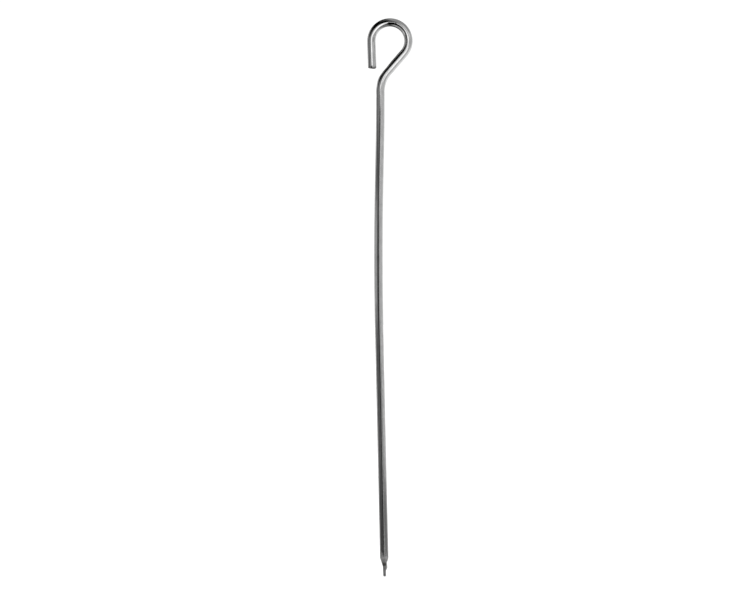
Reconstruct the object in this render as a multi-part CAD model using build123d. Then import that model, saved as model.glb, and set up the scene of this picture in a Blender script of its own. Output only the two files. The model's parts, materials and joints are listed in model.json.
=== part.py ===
from build123d import *
from math import atan, degrees, sqrt
import os

# A wire tent stake: one length of round steel wire, forged to a point at the lower end
# and bent into an open hook at the upper end. Millimetres and degrees.
#
# Frame: the origin is the end of the point, on the axis of the lower shank. +Z runs up the
# lower shank towards the hook, the wire lies in the XZ plane, and the hook opens towards -X.

# The wire
overall_length = 400.0
wire_diameter = 6.0

# The shank, from the point up. It is not quite straight: a long gentle bow to +X above the
# middle, a shorter bow back, and straight runs between them.
bow_radius = 2610.0
bow_turn = 2.38
upper_run = 30.0
counter_bow_radius = 1325.0
counter_bow_turn = 1.27
neck_run = 6.0

# The hook, from the shank on: the neck leans it to +X, then the loop comes back over the top
# to a free leg that points down and ends beside the neck.
neck_radius = 22.5
neck_turn = 41.0
diagonal_length = 17.5
loop_radius = 13.3
loop_turn = 222.8
leg_length = 19.4

# The free leg's end, sheared off a little askew with its rim rounded
shear_tilt = 9.0
shear_rim_radius = 0.6

# The point: a four-sided taper with its ridges to +-X and +-Y, and a blunt nib below it
taper_bottom = 7.0
taper_top = 13.4
taper_end_diameter = 2.2
point_blank_top = 22.0
pyramid_share = 0.96
nib_bottom_diameter = 2.0
nib_top_diameter = 2.2
nib_top = 8.5
nib_end_radius = 0.7

# Flash squeezed out of the forging dies on the +X side of the nib
flash_reach = 2.05
flash_bottom = 3.9
flash_top = 10.2
flash_thickness = 0.5

wire_radius = wire_diameter / 2


def turned(start, heading, radius, turn):
    """An arc that leaves start along heading and turns to the left by turn degrees."""
    return JernArc(start=start, tangent=heading, radius=radius, arc_size=turn)


def run(start, heading, length):
    """A straight piece of wire centreline."""
    return Line(start, start + heading * length)


def centreline(lower_run):
    """The wire's centreline from point_blank_top to past the end of the free leg, in XY."""
    pieces = [run(Vector(0, point_blank_top), Vector(0, 1), lower_run)]
    bends = (
        (bow_radius, -bow_turn, upper_run),
        (counter_bow_radius, counter_bow_turn, neck_run),
        (neck_radius, -neck_turn, diagonal_length),
        (loop_radius, loop_turn, leg_length + wire_radius),
    )
    for radius, turn, straight in bends:
        pieces.append(turned(pieces[-1] @ 1, pieces[-1] % 1, radius, turn))
        pieces.append(run(pieces[-1] @ 1, pieces[-1] % 1, straight))
    return pieces


def fitted_centreline():
    """The centreline with the lower shank as long as overall_length needs."""
    guess = overall_length / 2
    loop_top = max(edge.bounding_box().max.Y for edge in centreline(guess))
    return centreline(guess + overall_length - wire_radius - loop_top)


def bent_wire(pieces):
    """Round wire swept along the centreline, with the free leg sheared to length."""
    path = Plane.XZ * Wire([edge for piece in pieces for edge in piece.edges()])
    section = Plane(origin=path @ 0, z_dir=path % 0) * Circle(wire_radius)
    wire = sweep(section, path=path)
    leg_end = path @ 1 - (path % 1) * wire_radius
    shear = Plane(origin=leg_end, x_dir=(0, 1, 0), z_dir=path % 1).rotated((shear_tilt, 0, 0))
    wire -= shear * Box(
        wire_diameter * 1.3, wire_diameter * 1.3, wire_diameter * 0.8,
        align=(Align.CENTER, Align.CENTER, Align.MIN),
    )
    rim = wire.edges().sort_by_distance(leg_end)[0]
    return fillet(rim, shear_rim_radius)


def pyramid():
    """The square pyramid that the forging dies leave, upside down, with its ridges to +-X and +-Y."""
    ridge_slope = (wire_diameter - taper_end_diameter) / 2 / (taper_top - taper_bottom)
    top_ridge = wire_radius + ridge_slope * (point_blank_top - taper_top)
    height = top_ridge / ridge_slope * pyramid_share
    base = Plane.XY.offset(point_blank_top) * Rectangle(
        top_ridge * sqrt(2), top_ridge * sqrt(2), rotation=45
    )
    return extrude(base, dir=(0, 0, -1), amount=height, taper=degrees(atan(ridge_slope / sqrt(2))))


def point():
    """The forged point: the wire cut back to a square pyramid, with the nib and its flash."""
    upright = (Align.CENTER, Align.CENTER, Align.MIN)
    blank = Cylinder(wire_radius, point_blank_top, align=upright)
    nib = Cone(nib_bottom_diameter / 2, nib_top_diameter / 2, nib_top, align=upright)
    nib = fillet(nib.edges().sort_by(Axis.Z)[0], nib_end_radius)
    outline = Plane.XZ * Polygon(
        (0, flash_top), (flash_reach * 0.7, flash_top), (flash_reach, flash_top - 2.6),
        (flash_reach * 0.93, flash_bottom + 2.1), (flash_reach * 0.3, flash_bottom),
        (0, flash_bottom), align=None,
    )
    flash = extrude(outline, flash_thickness / 2, both=True)
    return (blank & pyramid()) + nib + flash


stake_wire = bent_wire(fitted_centreline()) + point()

os.makedirs("parts", exist_ok=True)
export_step(stake_wire, "parts/stake_wire.step")
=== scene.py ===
import json
import math

import bpy
import numpy as np
from mathutils import Matrix, Vector, noise


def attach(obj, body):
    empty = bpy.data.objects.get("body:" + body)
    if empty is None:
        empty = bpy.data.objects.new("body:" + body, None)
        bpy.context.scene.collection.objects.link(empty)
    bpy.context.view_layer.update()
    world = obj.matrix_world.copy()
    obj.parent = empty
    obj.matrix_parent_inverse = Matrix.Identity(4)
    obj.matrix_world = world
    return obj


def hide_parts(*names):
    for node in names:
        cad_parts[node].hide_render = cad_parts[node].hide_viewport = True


# A wire tent stake: one length of bright plated steel wire with a forged point and an open hook.
# Metres and degrees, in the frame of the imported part: the point's end is the origin, +Z runs up
# the lower shank, the wire lies in the XZ plane and the hook's mouth is on the -X side.

MM = 0.001
NODE = "stake_wire"

# The mesh attribute that keeps each point's place in the wire's unbent space
UNBENT = "unbent_place"

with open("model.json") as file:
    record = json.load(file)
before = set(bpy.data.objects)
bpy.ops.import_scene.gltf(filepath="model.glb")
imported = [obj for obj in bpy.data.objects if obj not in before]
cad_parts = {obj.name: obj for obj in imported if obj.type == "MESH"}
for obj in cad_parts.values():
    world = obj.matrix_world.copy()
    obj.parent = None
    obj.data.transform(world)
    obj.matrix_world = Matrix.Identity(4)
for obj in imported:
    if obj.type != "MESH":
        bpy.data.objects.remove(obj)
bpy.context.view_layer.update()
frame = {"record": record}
MOUNTS = {m["name"]: m for m in frame["record"]["mounts"]}

# The wire, its hook and its nib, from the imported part
WIRE_RADIUS = MOUNTS["shank"]["dims"]["r_mm"] * MM
EYE_RADIUS = MOUNTS["hook_eye"]["dims"]["r_mm"] * MM
EYE_HEIGHT = MOUNTS["hook_eye"]["pos_m"][2]
NIB_TOP_RADIUS = MOUNTS["point"]["dims"]["r_mm"] * MM

# The bends from the lower shank up: radius, turn towards +X, and the straight run after each
BENDS = (
    (2610 * MM, 2.38, 30 * MM),
    (1325 * MM, -1.27, 6 * MM),
    (22.5 * MM, 41.0, 17.5 * MM),
    (EYE_RADIUS + WIRE_RADIUS, -222.8, 19.4 * MM),
)

# The point
TAPER_BOTTOM, TAPER_TOP = 7.0 * MM, 13.4 * MM
TAPER_END_RADIUS = 1.1 * MM
NIB_BOTTOM_RADIUS, NIB_TOP = 1.0 * MM, 8.5 * MM
NIB_END_RADIUS = 0.7 * MM
FORGED_EDGE = 0.10 * MM
POINT_ZONE = 20 * MM
FLASH_REACH, FLASH_BOTTOM, FLASH_TOP = 2.05 * MM, 3.9 * MM, 10.2 * MM
FLASH_ROOT, FLASH_EDGE = 0.62 * MM, 0.09 * MM

# The sheared end of the free leg
SHEAR_TILT = 9.0
SHEAR_ZONE = 4 * MM
ROLLED_RIM, CUT_RIM = 1.6 * MM, 0.55 * MM
TORN_DEPTH = 0.07 * MM

# The mesh
AROUND = 80
RIM_RINGS = 8
FACE_RINGS = 10


# ---------------------------------------------------------------------------------------------
# The wire's centreline


def step_along(x, z, heading, length, turn):
    """Where a run or an arc of this length and turn ends, and the heading there."""
    if abs(turn) < 1e-9:
        return x + length * math.sin(heading), z + length * math.cos(heading), heading
    radius = length / turn
    end = heading + turn
    return (
        x + radius * (math.cos(heading) - math.cos(end)),
        z + radius * (math.sin(end) - math.sin(heading)),
        end,
    )


def make_route():
    """The centreline as (length, turn towards +X in radians), with the lower shank as long as
    the height of the hook's eye needs."""
    pieces = []
    for radius, turn, run in BENDS:
        pieces += [(radius * abs(math.radians(turn)), math.radians(turn)), (run, 0.0)]
    x, z, heading = 0.0, 0.0, 0.0
    for length, turn in pieces[:-1]:
        x, z, heading = step_along(x, z, heading, length, turn)
    eye_above_shank = z + (EYE_RADIUS + WIRE_RADIUS) * math.sin(heading)
    return [(EYE_HEIGHT - eye_above_shank, 0.0)] + pieces


ROUTE = make_route()
LENGTH = sum(length for length, _ in ROUTE)
HOOK_START = sum(length for length, _ in ROUTE[:5])
LEG_START = LENGTH - ROUTE[-1][0]


def place(distance):
    """The centreline at a distance from the point's end: x, z, heading and curvature."""
    x, z, heading = 0.0, 0.0, 0.0
    for length, turn in ROUTE[:-1]:
        if distance < length:
            return (*step_along(x, z, heading, distance, turn * distance / length), turn / length)
        x, z, heading = step_along(x, z, heading, length, turn)
        distance -= length
    return (*step_along(x, z, heading, distance, 0.0), 0.0)


# ---------------------------------------------------------------------------------------------
# The wire's skin, in its own unbent space: distance along, angle round from +X, and radius


def smooth_step(low, high, value):
    t = np.clip((value - low) / (high - low), 0, 1)
    return t * t * (3 - 2 * t)


def smooth_min(a, b, width):
    """The smaller of two surfaces, with the edge between them rounded over about width."""
    h = np.clip(0.5 + 0.5 * (b - a) / width, 0, 1)
    return b + (a - b) * h - width * h * (1 - h)


def smooth_max(a, b, width):
    return -smooth_min(-a, -b, width)


def ring_angles(distance):
    """Angles round one ring, drawn together at +X beside the flash, where it is thin."""
    share = np.arange(AROUND) / AROUND
    share = np.where(share > 0.5, share - 1, share) * 4
    gather = 0.72 * (1 - smooth_step(FLASH_TOP, POINT_ZONE, distance))
    near = share * (1 - gather + gather * share**2)
    return np.where(np.abs(share) <= 1, near, share) * math.pi / 2


def point_radius(distance, angle):
    """The forged point: wire, square pyramid, nib and flash, as a radius at each angle."""
    slope = (WIRE_RADIUS - TAPER_END_RADIUS) / (TAPER_TOP - TAPER_BOTTOM)
    ridge = TAPER_END_RADIUS + slope * (distance - TAPER_BOTTOM)
    facet = np.maximum(ridge, 0.05 * MM) / (np.abs(np.cos(angle)) + np.abs(np.sin(angle)))
    radius = smooth_min(WIRE_RADIUS, facet, FORGED_EDGE)
    nib = NIB_BOTTOM_RADIUS + (NIB_TOP_RADIUS - NIB_BOTTOM_RADIUS) * distance / NIB_TOP
    if distance < NIB_END_RADIUS:
        nib += math.sqrt(NIB_END_RADIUS**2 - (NIB_END_RADIUS - distance) ** 2) - NIB_END_RADIUS
    elif distance > NIB_TOP:
        nib = 0.0
    radius = smooth_max(radius, nib, FORGED_EDGE) if distance > 2 * MM else np.full(AROUND, nib)
    return np.maximum(radius, flash_radius(distance, angle))


def flash_radius(distance, angle):
    """The thin fin of flash on the +X side, ragged along its edge."""
    span = (distance - FLASH_BOTTOM) / (FLASH_TOP - FLASH_BOTTOM)
    if not 0 < span < 1:
        return np.zeros(AROUND)
    rise = smooth_step(0, 0.32, span) * (1 - 0.35 * smooth_step(0.55, 1, span))
    ragged = 1 + 0.07 * noise.noise(Vector((distance / (0.8 * MM), 0, 7)))
    reach = (NIB_BOTTOM_RADIUS + (FLASH_REACH - NIB_BOTTOM_RADIUS) * rise) * ragged
    ahead = np.cos(angle) > 0.3
    across, aside = np.maximum(np.cos(angle), 0.3), np.abs(np.sin(angle))
    wedge = FLASH_ROOT / (aside + (FLASH_ROOT - FLASH_EDGE) / reach * across)
    return np.where(ahead, smooth_min(wedge, reach / across, 0.08 * MM), 0.0)


# Shallow marks that forming and use leave in the wire: distance along, angle, half length,
# half width in degrees, depth (below zero where the metal was pushed up instead)
KNOCKS = (
    (HOOK_START - 3 * MM, 180, 2.6 * MM, 26, 0.10 * MM),
    (HOOK_START + 8.5 * MM, 180, 4.5 * MM, 55, -0.26 * MM),
    (HOOK_START + 17 * MM, 182, 6.5 * MM, 50, 0.26 * MM),
    (LEG_START - 14 * MM, 30, 2.0 * MM, 20, 0.06 * MM),
    (LEG_START + 5 * MM, 12, 2.2 * MM, 20, 0.06 * MM),
    (24 * MM, 250, 1.3 * MM, 16, 0.05 * MM),
    (41 * MM, 300, 1.5 * MM, 14, 0.05 * MM),
    (88 * MM, 215, 1.2 * MM, 15, 0.04 * MM),
    (133 * MM, 285, 1.6 * MM, 18, 0.05 * MM),
    (171 * MM, 60, 1.3 * MM, 16, 0.05 * MM),
    (229 * MM, 262, 1.5 * MM, 15, 0.05 * MM),
    (268 * MM, 120, 1.2 * MM, 16, 0.04 * MM),
)

# Ripples: their height, and their size across the wire and along it
RIPPLE, RIPPLE_ACROSS, RIPPLE_ALONG = 0.012 * MM, 3.4 * MM, 7.5 * MM
FINE_RIPPLE, FINE_ACROSS, FINE_ALONG = 0.0012 * MM, 0.9 * MM, 2.6 * MM

# How strongly a bend flattens the wire, as a length that is divided by the bend's radius
SQUEEZE = 0.26 * MM


def relief(distance, angle, radius):
    """How far the skin stands off its plain shape: ripples from drawing and plating, knocks."""
    raised = np.zeros(AROUND)
    calm = smooth_step(FLASH_TOP, POINT_ZONE, distance) * 0.8 + 0.2
    for i, (a, r) in enumerate(zip(angle, radius)):
        x, y = r * math.cos(a), r * math.sin(a)
        broad = noise.noise(
            Vector((x / RIPPLE_ACROSS, y / RIPPLE_ACROSS, distance / RIPPLE_ALONG)))
        fine = noise.noise(Vector((x / FINE_ACROSS, y / FINE_ACROSS, distance / FINE_ALONG)))
        raised[i] = (RIPPLE * broad + FINE_RIPPLE * fine) * calm
    for centre, turn, half_length, half_width, depth in KNOCKS:
        along = abs(distance - centre) / half_length
        if along < 1:
            off = (angle - math.radians(turn) + math.pi) % (2 * math.pi) - math.pi
            across = np.clip(np.abs(off) / math.radians(half_width), 0, 1)
            raised -= depth * (1 - along**2) ** 2 * (1 - across**2) ** 2
    return raised


def squeezed(radius, angle, curvature):
    """A bend flattens the wire a little in the plane of the bend and widens it across."""
    amount = SQUEEZE * abs(curvature)
    return radius * (1 - amount * np.cos(angle) ** 2 + 0.5 * amount * np.sin(angle) ** 2)


def ring_distances():
    """How far along each ring lies, closer together where the shape changes quickly."""
    zones = (
        (NIB_END_RADIUS, FLASH_BOTTOM - 0.3 * MM, 0.35 * MM),
        (FLASH_BOTTOM - 0.3 * MM, POINT_ZONE, 0.17 * MM),
        (POINT_ZONE, HOOK_START - 12 * MM, 0.9 * MM),
        (HOOK_START - 12 * MM, LENGTH - SHEAR_ZONE, 0.42 * MM),
        (LENGTH - SHEAR_ZONE, LENGTH - 1.5 * ROLLED_RIM, 0.3 * MM),
    )
    rounding = [NIB_END_RADIUS * (1 - math.cos(t)) for t in np.linspace(0.05, 1.45, 7)]
    spans = [np.linspace(a, b, math.ceil((b - a) / step), endpoint=False) for a, b, step in zones]
    return np.concatenate([rounding, *spans])


def smooth_curvature(distance):
    """Curvature averaged over a wire's thickness, since a bend starts gradually."""
    window = np.linspace(-WIRE_RADIUS, WIRE_RADIUS, 7)
    return float(np.mean([place(min(max(distance + w, 0), LENGTH))[3] for w in window]))


class Skin:
    """Collects rings of points, each with its place in the wire's unbent space."""

    def __init__(self):
        self.points, self.unbent, self.faces = [], [], []

    def ring(self, distance, angle, radius):
        """distance, angle and radius are one value for each point round the ring."""
        for s, a, r in zip(distance, angle, radius):
            x, z, heading, _ = place(s)
            across = r * math.cos(a)
            self.points.append((x + across * math.cos(heading), r * math.sin(a),
                                z - across * math.sin(heading)))
            self.unbent.append((across, r * math.sin(a), s))
        return len(self.points) // AROUND - 1

    def join(self, low, high, material=0):
        for j in range(AROUND):
            k = (j + 1) % AROUND
            a, b = low * AROUND, high * AROUND
            self.faces.append(((a + j, a + k, b + k, b + j), material))

    def cap(self, ring, distance, outward, material=0):
        x, z, _, _ = place(distance)
        self.points.append((x, 0.0, z))
        self.unbent.append((0.0, 0.0, distance))
        middle, start = len(self.points) - 1, ring * AROUND
        for j in range(AROUND):
            k = (j + 1) % AROUND
            corner = (start + j, start + k) if outward else (start + k, start + j)
            self.faces.append(((*corner, middle), material))


def sheared_end(skin, last):
    """The free leg's end: the rim rolled over on one side, then the torn face."""
    angle = ring_angles(LENGTH)
    lean = -math.tan(math.radians(SHEAR_TILT))
    rim = CUT_RIM + (ROLLED_RIM - CUT_RIM) * (0.5 - 0.5 * np.cos(angle)) ** 1.5
    for t in np.linspace(0, math.pi / 2, RIM_RINGS):
        radius = WIRE_RADIUS - rim * (1 - math.cos(t))
        distance = LENGTH + lean * radius * np.cos(angle) - rim * (1 - math.sin(t))
        ring = skin.ring(distance, angle, radius + relief(LENGTH, angle, radius) * math.cos(t))
        skin.join(last, ring)
        last = ring
    for share in np.linspace(1, 0, FACE_RINGS + 1)[1:-1]:
        radius = (WIRE_RADIUS - rim) * share
        across, aside = radius * np.cos(angle), radius * np.sin(angle)
        torn = [noise.fractal(Vector((a / (0.9 * MM), b / (0.5 * MM), 3)), 0.6, 2.1, 4)
                for a, b in zip(across, aside)]
        inward = min(1.0, 4 * (1 - share))
        distance = LENGTH + lean * across + TORN_DEPTH * inward * (np.array(torn) - 0.6) * share
        ring = skin.ring(distance, angle, radius)
        skin.join(last, ring, 1)
        last = ring
    skin.cap(last, LENGTH, True, 1)


def stake_mesh():
    """The whole wire as one mesh of quads with a small fan at each end.

    Known fault: the lower cap's centre is counted as the next ring's first point, so each ring
    is joined one point late and two triangles at the tip are doubled.
    """
    skin = Skin()
    last = None
    lean = -math.tan(math.radians(SHEAR_TILT))
    for distance in ring_distances():
        angle = ring_angles(distance)
        if distance < POINT_ZONE:
            radius = point_radius(distance, angle)
        else:
            radius = squeezed(np.full(AROUND, WIRE_RADIUS), angle, smooth_curvature(distance))
        radius = radius + relief(distance, angle, radius)
        leaning = smooth_step(LENGTH - SHEAR_ZONE, LENGTH, distance) * lean * radius * np.cos(angle)
        ring = skin.ring(distance + leaning, angle, radius)
        if last is None:
            skin.cap(ring, 0.0, False)
        else:
            skin.join(last, ring)
        last = ring
    sheared_end(skin, last)
    return skin


def surface(name, skin, materials):
    """A smooth-shaded mesh object from a skin, with its unbent places kept for the textures."""
    mesh = bpy.data.meshes.new(name)
    mesh.from_pydata(skin.points, [], [corners for corners, _ in skin.faces])
    mesh.polygons.foreach_set("use_smooth", [True] * len(skin.faces))
    mesh.polygons.foreach_set("material_index", [material for _, material in skin.faces])
    unbent = mesh.attributes.new(UNBENT, "FLOAT_VECTOR", "POINT")
    unbent.data.foreach_set("vector", np.array(skin.unbent, np.float32).ravel())
    for material in materials:
        mesh.materials.append(material)
    mesh.update()
    made = bpy.data.objects.new(name, mesh)
    bpy.context.scene.collection.objects.link(made)
    return made


# ---------------------------------------------------------------------------------------------
# Materials. Textures are read in the wire's unbent space in millimetres, so that drawing lines
# follow the bends of the hook.

class Nodes:
    """A short way to write a node tree: each call adds a node and returns its first output."""

    def __init__(self, tree):
        self.tree = tree
        tree.nodes.clear()

    def add(self, kind, inputs=(), out=0, **settings):
        node = self.tree.nodes.new(kind)
        for key, value in settings.items():
            setattr(node, key, value)
        for key, value in dict(inputs).items():
            if isinstance(value, bpy.types.NodeSocket):
                self.tree.links.new(value, node.inputs[key])
            else:
                node.inputs[key].default_value = value
        return node.outputs[out]

    def maths(self, operation, *values, clamp=False):
        inputs = dict(enumerate(values))
        return self.add("ShaderNodeMath", inputs, operation=operation, use_clamp=clamp)

    def vector_maths(self, operation, *values, out=0):
        inputs = dict(enumerate(values))
        return self.add("ShaderNodeVectorMath", inputs, out, operation=operation)

    def scaled(self, place, stretch):
        return self.vector_maths("MULTIPLY", place, stretch)

    def noise(self, place, scale, detail=3.0, roughness=0.55, distortion=0.0):
        inputs = {"Vector": place, "Scale": scale, "Detail": detail, "Roughness": roughness,
                  "Distortion": distortion}
        return self.add("ShaderNodeTexNoise", inputs)

    def between(self, value, low, high, to_low=0.0, to_high=1.0):
        inputs = {"Value": value, "From Min": low, "From Max": high, "To Min": to_low,
                  "To Max": to_high}
        return self.add("ShaderNodeMapRange", inputs, interpolation_type="SMOOTHSTEP")

    def near(self, value, centre, full, faded):
        """One where value is within full of the centre, falling to nothing at faded."""
        away = self.maths("ABSOLUTE", self.maths("SUBTRACT", value, centre))
        return self.between(away, faded, full)

    def output(self, shader, kind="ShaderNodeOutputMaterial"):
        node = self.tree.nodes.new(kind)
        self.tree.links.new(shader, node.inputs["Surface"])

    def mix(self, share, first, second):
        inputs = {"Factor": share, "A": first, "B": second}
        node = self.tree.nodes.new("ShaderNodeMix")
        node.data_type = "RGBA"
        for key, value in inputs.items():
            socket = [s for s in node.inputs if s.name == key and s.enabled][0]
            if isinstance(value, bpy.types.NodeSocket):
                self.tree.links.new(value, socket)
            else:
                socket.default_value = value
        return [s for s in node.outputs if s.enabled][0]


def grey(value, warmth=0.0):
    return (value + warmth, value, value - warmth, 1.0)


def new_material(name):
    material = bpy.data.materials.new(name)
    material.use_nodes = True
    return material, Nodes(material.node_tree)


def unbent_millimetres(nodes):
    place = nodes.add("ShaderNodeAttribute", attribute_name=UNBENT, out=1)
    return nodes.scaled(place, (1000, 1000, 1000))


def layered(nodes, *layers):
    """The sum of several values, each times its amount."""
    total = 0.0
    for value, amount in layers:
        total = nodes.maths("MULTIPLY_ADD", value, amount, total)
    return total


def plated_wire():
    """Drawn steel wire with a thin bright plating: clear at the hook, dulled towards the point."""
    material, nodes = new_material("plated_wire")
    place = unbent_millimetres(nodes)
    along = nodes.add("ShaderNodeSeparateXYZ", {"Vector": place}, out=2)
    across = nodes.add("ShaderNodeSeparateXYZ", {"Vector": place}, out=0)

    # How far down towards the point: rubbed by use, darker in colour from 92 mm down to 40 mm, and
    # dull where it goes in the ground
    rubbed = nodes.between(along, 260.0, 20.0)
    darker_towards_point = nodes.between(along, 92.0, 40.0)
    dulled = nodes.between(along, 40.0, 14.0)

    # Painted shade darkening the corner above the nib, a painted highlight as a light band on the
    # point's shoulder, metal worn bright on the thin flash, and plating burnt dark along the
    # sheared edge
    painted_corner_shade = nodes.near(along, 8.7, 0.5, 1.9)
    painted_shoulder_highlight = nodes.near(along, 13.3, 0.4, 1.6)
    worn_flash = nodes.maths("MULTIPLY", nodes.between(across, 1.15, 1.45),
                             nodes.between(along, 10.7, 10.0))
    burnt_edge = nodes.between(along, LENGTH / MM - 2.0, LENGTH / MM - 0.5)

    # Lines from the drawing die, cloudy plating, and the grain under it
    die = nodes.noise(nodes.scaled(place, (6.5, 6.5, 0.05)), 1.0, 4.0, 0.7)
    die_lines = nodes.between(die, 0.52, 0.72)
    cloud = nodes.noise(nodes.scaled(place, (0.5, 0.5, 0.16)), 1.0, 5.0, 0.62)
    haze = nodes.between(cloud, 0.36, 0.64)
    grain = nodes.noise(nodes.scaled(place, (7, 7, 4)), 1.0, 3.0, 0.6)
    orange_peel = nodes.noise(nodes.scaled(place, (1.5, 1.5, 1.1)), 1.0, 2.0, 0.5)

    # Scratches: long ones from the ground, short slanting ones from handling
    long_noise = nodes.noise(nodes.scaled(place, (4.2, 4.2, 0.28)), 1.0, 3.0, 0.55, 0.5)
    long_scratches = nodes.maths("MULTIPLY", nodes.between(long_noise, 0.57, 0.70), rubbed)
    slanted = nodes.add("ShaderNodeMapping", {
        "Vector": place, "Rotation": (0.5, 0.35, 0.0), "Scale": (9.0, 9.0, 0.45),
    })
    short_scratches = nodes.between(nodes.noise(slanted, 1.0, 1.0, 0.4), 0.70, 0.77)

    # Pits, each in its own cell, and only in some cells
    cells = nodes.scaled(place, (0.95, 0.95, 0.70))
    pit_centre = nodes.add("ShaderNodeTexVoronoi", {"Vector": cells, "Scale": 1.0})
    pit_draw = nodes.add("ShaderNodeTexVoronoi", {"Vector": cells, "Scale": 1.0}, out=1)
    drawn = nodes.add("ShaderNodeSeparateColor", {"Color": pit_draw})
    pit = nodes.maths("MULTIPLY", nodes.between(pit_centre, 0.16, 0.05),
                      nodes.between(drawn, 0.66, 0.70))

    plating = nodes.mix(haze, grey(0.60), grey(0.71))
    plating = nodes.mix(nodes.maths("MULTIPLY", die_lines, 0.35), plating, grey(0.50))
    plating = nodes.mix(nodes.maths("MULTIPLY", short_scratches, 0.5), plating, grey(0.80))
    plating = nodes.mix(nodes.maths("MULTIPLY", long_scratches, 0.75), plating, grey(0.36, 0.003))
    # The colour turns darker towards the point, from 92 mm down to 40 mm
    plating = nodes.mix(nodes.maths("MULTIPLY", darker_towards_point, 0.56), plating, grey(0.24, 0.003))
    # Painted shade: the corner above the nib darkened in the colour
    plating = nodes.mix(nodes.maths("MULTIPLY", painted_corner_shade, 0.85), plating, grey(0.08, 0.004))
    # Painted highlight: a lighter band of colour on the point's shoulder
    plating = nodes.mix(nodes.maths("MULTIPLY", painted_shoulder_highlight, 0.5), plating, grey(0.70))
    plating = nodes.mix(nodes.maths("MULTIPLY", worn_flash, 0.9), plating, grey(0.80))
    plating = nodes.mix(nodes.maths("MULTIPLY", burnt_edge, 0.7), plating, grey(0.16, 0.004))
    plating = nodes.mix(nodes.maths("MULTIPLY", pit, 0.6), plating, grey(0.14, 0.005))

    rough = layered(nodes, (haze, -0.03), (die_lines, 0.05), (long_scratches, 0.10), (pit, 0.20),
                    (rubbed, 0.06), (dulled, 0.12), (grain, 0.03), (worn_flash, 0.40))
    rough = nodes.maths("ADD", rough, 0.07)

    height = layered(nodes, (die_lines, 0.0009), (grain, 0.0005), (orange_peel, 0.0022),
                     (long_scratches, -0.0030), (short_scratches, -0.0025), (pit, -0.012))
    bump = nodes.add("ShaderNodeBump", {"Height": height, "Strength": 1.0, "Distance": MM})

    shader = nodes.add("ShaderNodeBsdfPrincipled", {
        "Base Color": plating, "Metallic": 1.0, "Roughness": rough, "Normal": bump,
        "Specular Tint": grey(0.8),
    })
    nodes.output(shader)
    return material


def sheared_steel():
    """The torn face where the wire was cut off: dull, dark and coarse, without plating."""
    material, nodes = new_material("sheared_steel")
    place = unbent_millimetres(nodes)
    coarse = nodes.noise(nodes.scaled(place, (1.4, 2.6, 2.0)), 1.0, 5.0, 0.65)
    fine = nodes.noise(nodes.scaled(place, (9, 14, 9)), 1.0, 3.0, 0.6)
    colour = nodes.mix(nodes.between(coarse, 0.35, 0.65), grey(0.16, 0.004), grey(0.34, 0.004))
    rough = nodes.between(fine, 0.3, 0.7, 0.32, 0.5)
    height = nodes.maths("ADD", nodes.maths("MULTIPLY", coarse, 0.05),
                         nodes.maths("MULTIPLY", fine, 0.012))
    bump = nodes.add("ShaderNodeBump", {"Height": height, "Strength": 1.0, "Distance": MM})
    shader = nodes.add("ShaderNodeBsdfPrincipled", {
        "Base Color": colour, "Metallic": 1.0, "Roughness": rough, "Normal": bump,
    })
    nodes.output(shader)
    return material


# ---------------------------------------------------------------------------------------------
# The studio: a pale floor, soft lights, and a camera that looks straight at the stake from a few
# metres away


FLOOR_HALF = 30.0
BACKDROP_WHITE = 1.05
ROOM_LIGHT = 0.004
OVERHEAD_STRENGTH, OVERHEAD_SPREAD = 3.6, 120


def studio_floor():
    """A large near-white floor that the point stands on."""
    half = FLOOR_HALF
    mesh = bpy.data.meshes.new("studio_floor")
    corners = [(-half, -half, 0), (half, -half, 0), (half, half, 0), (-half, half, 0)]
    mesh.from_pydata(corners, [], [(0, 1, 2, 3)])
    floor = bpy.data.objects.new("studio_floor", mesh)
    bpy.context.scene.collection.objects.link(floor)
    material, nodes = new_material("floor_paint")
    place = nodes.add("ShaderNodeTexCoord", out=3)
    patches = nodes.noise(place, 3.0, 3.0)
    colour = nodes.mix(patches, grey(0.90), grey(0.93))
    shader = nodes.add("ShaderNodeBsdfPrincipled", {"Base Color": colour, "Roughness": 0.7})
    nodes.output(shader)
    mesh.materials.append(material)
    floor.visible_glossy = False


# Soft boxes near the stake: the side they stand on, their distance, their extent across and
# upwards, the width over which their edges fade, brightness
BOXES = (
    ("hook_box", "front", 0.40, (-0.137, 0.118), (0.366, 0.440), 0.044, 1.34),
    ("corner_box", "front", 0.40, (-0.170, -0.030), (0.440, 0.530), 0.024, 0.55),
    ("neck_box", "front", 0.40, (-0.025, 0.360), (0.270, 0.372), 0.050, 0.33),
    ("shank_box", "front", 0.40, (0.069, 0.313), (0.138, 0.601), 0.058, 0.20),
    ("left_box", "left", 0.30, (-0.340, 0.056), (0.186, 0.289), 0.048, 0.30),
    ("left_hook_box", "left", 0.30, (-0.420, -0.170), (0.348, 0.490), 0.048, 0.24),
    ("right_box", "right", 0.30, (-0.350, 0.030), (0.055, 0.520), 0.070, 0.30),
)

# A small black flag in front of the loop's top: distance, extent across and upwards
FLAG = (0.012, (0.0112, 0.0170), (0.3840, 0.3968))


def faded_edges(nodes, value, low, high, fade):
    """One between low and high, falling smoothly to nothing over the fade's width."""
    rise = nodes.between(value, low - fade / 2, low + fade / 2)
    fall = nodes.between(value, high + fade / 2, high - fade / 2)
    return nodes.maths("MULTIPLY", rise, fall)


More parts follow.
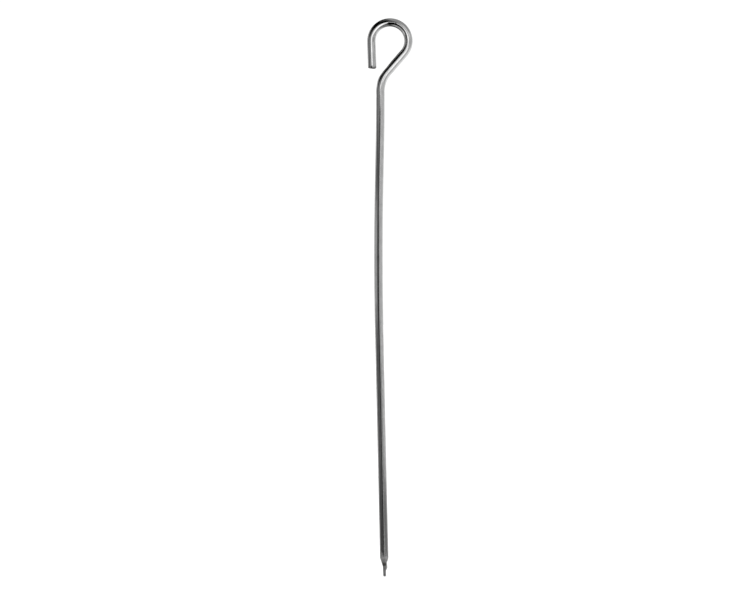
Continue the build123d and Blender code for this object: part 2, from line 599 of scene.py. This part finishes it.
def board(name, side, distance, across, upwards):
    """An upright rectangle beside the stake that only its reflections can see."""
    (a0, a1), (z0, z1) = across, upwards
    outline = [(a0, z0), (a1, z0), (a1, z1), (a0, z1)]
    if side == "front":
        corners = [(a, -distance, z) for a, z in outline]
    else:
        x = -distance if side == "left" else distance
        corners = [(x, a, z) for a, z in outline]
    mesh = bpy.data.meshes.new(name)
    mesh.from_pydata(corners, [], [(0, 1, 2, 3)])
    made = bpy.data.objects.new(name, mesh)
    bpy.context.scene.collection.objects.link(made)
    material, nodes = new_material(name)
    mesh.materials.append(material)
    made.visible_camera = False
    made.visible_diffuse = False
    made.visible_shadow = False
    return nodes


def soft_box(name, side, distance, across, upwards, fade, brightness):
    """A soft box whose light fades out at its edges and lets what is behind it through."""
    (a0, a1), (z0, z1) = across, upwards
    margin = fade / 2
    nodes = board(name, side, distance, (a0 - margin, a1 + margin), (z0 - margin, z1 + margin))
    place = nodes.add("ShaderNodeTexCoord", out=3)
    a = nodes.add("ShaderNodeSeparateXYZ", {"Vector": place}, out=0 if side == "front" else 1)
    z = nodes.add("ShaderNodeSeparateXYZ", {"Vector": place}, out=2)
    lit = nodes.maths("MULTIPLY", faded_edges(nodes, a, a0, a1, fade),
                      faded_edges(nodes, z, z0, z1, fade))
    glow = nodes.add("ShaderNodeEmission", {
        "Color": grey(1.0), "Strength": nodes.maths("MULTIPLY", lit, brightness),
    })
    clear = nodes.add("ShaderNodeBsdfTransparent")
    nodes.output(nodes.add("ShaderNodeAddShader", {0: glow, 1: clear}))


def black_flag(distance, across, upwards):
    """A small black card that keeps the front light off the inside of the loop's top."""
    nodes = board("black_flag", "front", distance, across, upwards)
    nodes.output(nodes.add("ShaderNodeEmission", {"Color": grey(0.0), "Strength": 0.0}))


# Large soft cards far off: azimuth to the right of the camera as the stake sees it, elevation,
# the angles at which they are full and faded out, brightness
CARDS = (
    ("right wall", 97, 4, 82, 97, 0.24),
    ("right", 96, -10, 38, 85, 0.06),
    ("upper right", 36, 24, 1, 24, 0.49),
    ("far right", 110, -38, 10, 28, 0.45),
    ("left", -48, -6, 22, 40, 0.12),
    ("lower left", -80, -48, 13, 44, 0.50),
    ("back right", 138, -6, 18, 46, 0.62),
    ("back left", -126, 2, 16, 42, 0.50),
    ("top", 96, 72, 16, 50, 0.13),
    ("lower right", 19, -19, 11, 18, 0.90),
    ("key", 7, -10, 1, 9, 1.0),
)


def heading_of(azimuth, elevation):
    a, e = math.radians(azimuth), math.radians(elevation)
    return (math.sin(a) * math.cos(e), -math.cos(a) * math.cos(e), math.sin(e))


def studio_world():
    """White to the camera, and to reflections a dark room with the soft cards in it."""
    world = bpy.data.worlds.new("studio")
    bpy.context.scene.world = world
    world.use_nodes = True
    nodes = Nodes(world.node_tree)
    towards = nodes.add("ShaderNodeTexCoord")
    light = ROOM_LIGHT
    for _, azimuth, elevation, inner, outer, brightness in CARDS:
        aim = heading_of(azimuth, elevation)
        facing = nodes.vector_maths("DOT_PRODUCT", towards, aim, out=1)
        full, faded = math.cos(math.radians(inner)), math.cos(math.radians(outer))
        light = nodes.maths("ADD", light, nodes.between(facing, faded, full, 0.0, brightness))
    seen = nodes.add("ShaderNodeLightPath")
    strength = nodes.add("ShaderNodeMix", {0: seen, 2: light, 3: BACKDROP_WHITE})
    nodes.output(nodes.add("ShaderNodeBackground", {"Color": grey(1.0), "Strength": strength}),
                 "ShaderNodeOutputWorld")


def floor_light():
    """A broad soft light from above that brings the floor up to white."""
    light = bpy.data.lights.new("overhead", "SUN")
    light.energy = OVERHEAD_STRENGTH
    light.angle = math.radians(OVERHEAD_SPREAD)
    lamp = bpy.data.objects.new("overhead", light)
    lamp.visible_glossy = False
    bpy.context.scene.collection.objects.link(lamp)


CAMERA_PLACE = (-0.002593, -2.988, 0.19819)
CAMERA_ROLL = 1.254
LENS, SENSOR = 200, 36


def studio_camera():
    """A long lens level with the middle of the stake, rolled a little so that the stake leans."""
    lens = bpy.data.cameras.new("camera")
    lens.lens = LENS
    lens.sensor_width = SENSOR
    camera = bpy.data.objects.new("camera", lens)
    roll = math.radians(CAMERA_ROLL)
    right = Vector((math.cos(roll), 0, -math.sin(roll)))
    up = Vector((math.sin(roll), 0, math.cos(roll)))
    back = right.cross(up)
    turn = Matrix((right, up, back)).transposed().to_4x4()
    camera.matrix_world = Matrix.Translation(CAMERA_PLACE) @ turn
    lens.clip_start, lens.clip_end = 0.05, 100
    bpy.context.scene.collection.objects.link(camera)
    bpy.context.scene.camera = camera


stake = surface("bent_wire", stake_mesh(), (plated_wire(), sheared_steel()))
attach(stake, "root")
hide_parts(NODE)

studio_floor()
for box in BOXES:
    soft_box(*box)
black_flag(*FLAG)
studio_world()
floor_light()
studio_camera()
bpy.context.scene.view_settings.view_transform = "Standard"
